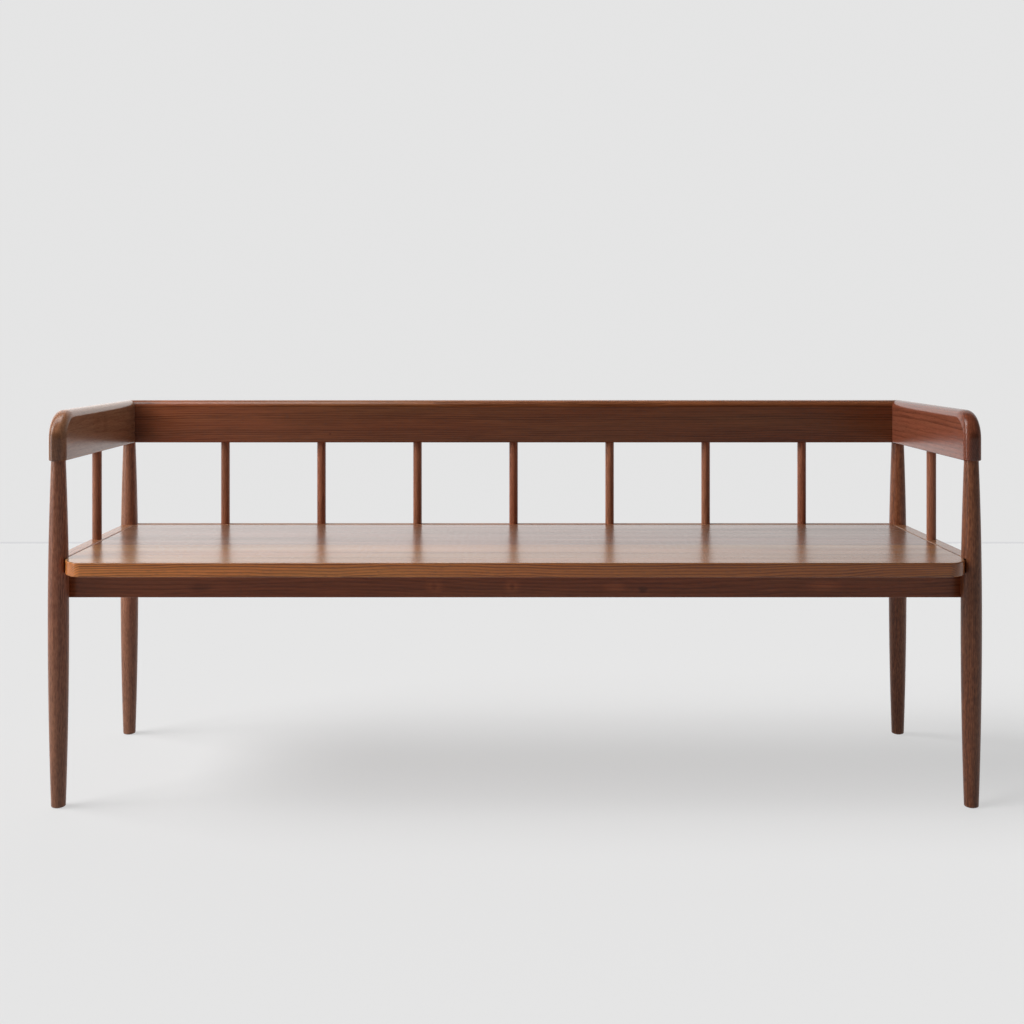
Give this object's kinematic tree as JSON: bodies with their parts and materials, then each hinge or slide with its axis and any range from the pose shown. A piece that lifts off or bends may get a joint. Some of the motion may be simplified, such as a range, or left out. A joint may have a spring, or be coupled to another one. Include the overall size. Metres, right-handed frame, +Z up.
{
  "type": "deacons bench",
  "caption": "Long wooden bench seat on turned legs, with a low back rail and arms carried by slim upright spindles.",
  "frame": {"origin": "on the floor at the middle of the bench's outline, below the seat", "axes": "+Z up, +X to the right along the bench for someone who looks at its front, -Y to the front"},
  "size_m": [1.65, 0.504, 0.7],
  "materials": {
    "turned_walnut": "satin lacquered walnut, grain along the turning",
    "rail_walnut": "satin lacquered walnut, grain along the rail",
    "seat_walnut": "satin lacquered walnut, grain from side to side",
    "frame_walnut": "satin lacquered walnut, grain along the rail",
    "spline_beech": "plain planed beech",
    "screw_steel": "yellow zinc plated",
    "glide_nylon": "moulded dark brown nylon"
  },
  "bodies": {
    "root": {"back_rail": "rail_walnut", "back_spindle_1": "turned_walnut", "back_spindle_2": "turned_walnut", "back_spindle_3": "turned_walnut", "back_spindle_4": "turned_walnut", "back_spindle_5": "turned_walnut", "back_spindle_6": "turned_walnut", "back_spindle_7": "turned_walnut", "cleat_screws": "screw_steel", "cross_bearer_1": "frame_walnut", "cross_bearer_2": "frame_walnut", "cross_bearer_3": "frame_walnut", "front_apron": "frame_walnut", "front_left_glide": "glide_nylon", "front_left_leg": "turned_walnut", "front_right_glide": "glide_nylon", "front_right_leg": "turned_walnut", "left_arm": "rail_walnut", "left_cleat": "frame_walnut", "left_mitre_spline": "spline_beech", "left_seat_rail": "frame_walnut", "left_side_spindle": "turned_walnut", "rear_cleat": "frame_walnut", "rear_left_glide": "glide_nylon", "rear_left_leg": "turned_walnut", "rear_right_glide": "glide_nylon", "rear_right_leg": "turned_walnut", "rear_seat_rail": "frame_walnut", "right_arm": "rail_walnut", "right_cleat": "frame_walnut", "right_mitre_spline": "spline_beech", "right_seat_rail": "frame_walnut", "right_side_spindle": "turned_walnut", "seat_board": "seat_walnut", "seat_screws": "screw_steel"}
  },
  "joints": []
}
